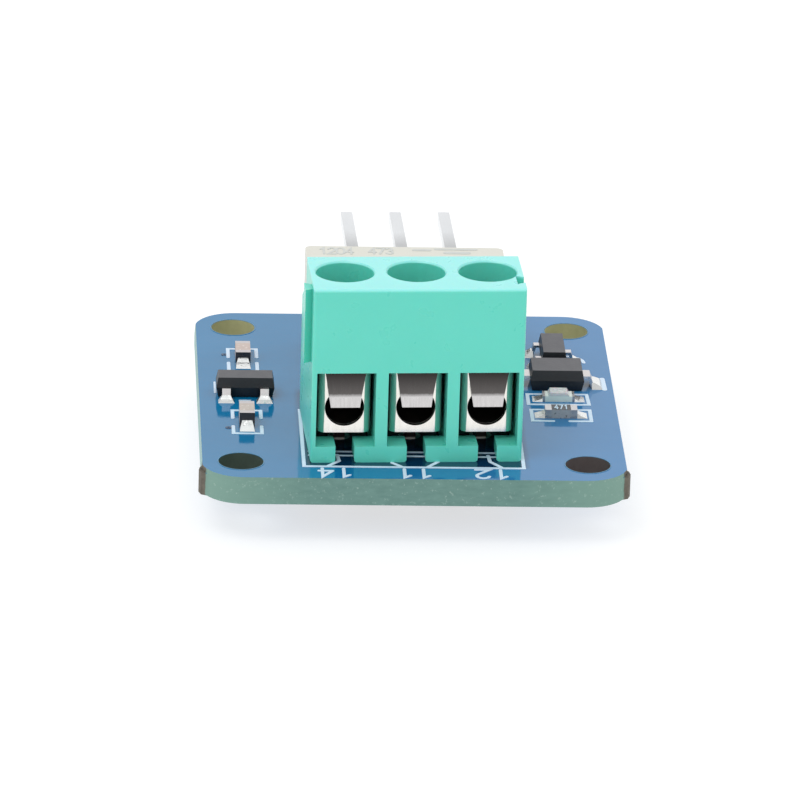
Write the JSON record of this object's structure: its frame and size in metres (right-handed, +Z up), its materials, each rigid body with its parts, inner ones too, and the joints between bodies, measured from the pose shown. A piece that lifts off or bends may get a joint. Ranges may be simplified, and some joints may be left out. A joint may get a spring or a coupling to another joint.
{
  "type": "relay module board",
  "caption": "Small square circuit board with a screw terminal block, a signal relay, surface-mounted driver parts and a right-angle pin header.",
  "frame": {"origin": "centre of the four mounting holes on the board's underside", "axes": "+Z up through the board, wires enter the terminal block from -Y, the pin header points along +Y"},
  "size_m": [0.0212, 0.0333, 0.0124],
  "materials": {
    "solder_mask": "gloss",
    "terminal_plastic": "semi-gloss",
    "plated_steel": "satin",
    "guard_steel": "satin",
    "screw_steel": "satin",
    "relay_white": "matte",
    "relay_dark": "matte",
    "copper_wire": "gloss",
    "soft_iron": "satin",
    "magnet": "matte",
    "contact_alloy": "satin",
    "header_plastic": "matte",
    "tinned_pins": "satin",
    "component_epoxy": "matte",
    "component_tin": "satin",
    "capacitor_ceramic": "matte",
    "resistor_ceramic": "satin",
    "lamp_substrate": "matte",
    "lamp_resin": "gloss",
    "solder": "satin"
  },
  "bodies": {
    "board": {"pcb": "solder_mask", "terminal_housing": "terminal_plastic", "terminal_cage_1": "plated_steel", "terminal_cage_2": "plated_steel", "terminal_cage_3": "plated_steel", "relay_cover": "relay_white", "relay_base": "relay_dark", "coil_bobbin": "relay_dark", "coil_winding": "copper_wire", "coil_core": "soft_iron", "coil_magnet": "magnet", "coil_terminal_front": "contact_alloy", "coil_terminal_back": "contact_alloy", "break_terminal_front": "contact_alloy", "break_terminal_back": "contact_alloy", "common_terminal_front": "contact_alloy", "common_terminal_back": "contact_alloy", "make_terminal_front": "contact_alloy", "make_terminal_back": "contact_alloy", "header_insulator": "header_plastic", "header_pin_1": "tinned_pins", "header_pin_2": "tinned_pins", "header_pin_3": "tinned_pins", "left_transistor_body": "component_epoxy", "right_transistor_body": "component_epoxy", "diode_body": "component_epoxy", "left_transistor_leads": "component_tin", "right_transistor_leads": "component_tin", "diode_leads": "component_tin", "filter_capacitor_ends": "component_tin", "supply_capacitor_ends": "component_tin", "resistor_ends": "component_tin", "lamp_ends": "component_tin", "filter_capacitor_body": "capacitor_ceramic", "supply_capacitor_body": "capacitor_ceramic", "resistor_body": "resistor_ceramic", "lamp_base": "lamp_substrate", "lamp_lens": "lamp_resin", "surface_solder": "solder", "through_hole_solder": "solder"},
    "clamp_1": {"wire_guard_1": "guard_steel"},
    "screw_1": {"terminal_screw_1": "screw_steel"},
    "clamp_2": {"wire_guard_2": "guard_steel"},
    "screw_2": {"terminal_screw_2": "screw_steel"},
    "clamp_3": {"wire_guard_3": "guard_steel"},
    "screw_3": {"terminal_screw_3": "screw_steel"},
    "rocker": {"armature": "soft_iron", "spring_carrier": "relay_dark", "contact_spring_front": "contact_alloy", "contact_spring_back": "contact_alloy"}
  },
  "joints": [
    {"name": "clamp_1_travel", "type": "slide", "parent": "board", "child": "clamp_1", "axis": [0, 0, 1], "range_m": [-0.0011, 0.0009]},
    {"name": "screw_1_turn", "type": "hinge", "parent": "clamp_1", "child": "screw_1", "pos_m": [-0.00355, -0.00663, 0.0079], "axis": [0, 0, 1], "range_deg": [-990, 810]},
    {"name": "clamp_2_travel", "type": "slide", "parent": "board", "child": "clamp_2", "axis": [0, 0, 1], "range_m": [-0.0011, 0.0009]},
    {"name": "screw_2_turn", "type": "hinge", "parent": "clamp_2", "child": "screw_2", "pos_m": [-0.00005, -0.00647, 0.0079], "axis": [0, 0, 1], "range_deg": [-990, 810]},
    {"name": "clamp_3_travel", "type": "slide", "parent": "board", "child": "clamp_3", "axis": [0, 0, 1], "range_m": [-0.0011, 0.0009]},
    {"name": "screw_3_turn", "type": "hinge", "parent": "clamp_3", "child": "screw_3", "pos_m": [0.00344, -0.00631, 0.0079], "axis": [0, 0, 1], "range_deg": [-990, 810]},
    {"name": "rocker_tilt", "type": "hinge", "parent": "board", "child": "rocker", "pos_m": [0, 0.004, 0.00538], "axis": [0, 1, 0], "range_deg": [0, 7.2], "stiffness_Nm_per_rad": 0.0002, "springref_deg": -1.72}
  ],
  "couplings": [
    {"joint": "screw_1_turn", "follows": "clamp_1_travel", "rad_per_m": 15708},
    {"joint": "screw_2_turn", "follows": "clamp_2_travel", "rad_per_m": 15708},
    {"joint": "screw_3_turn", "follows": "clamp_3_travel", "rad_per_m": 15708}
  ]
}
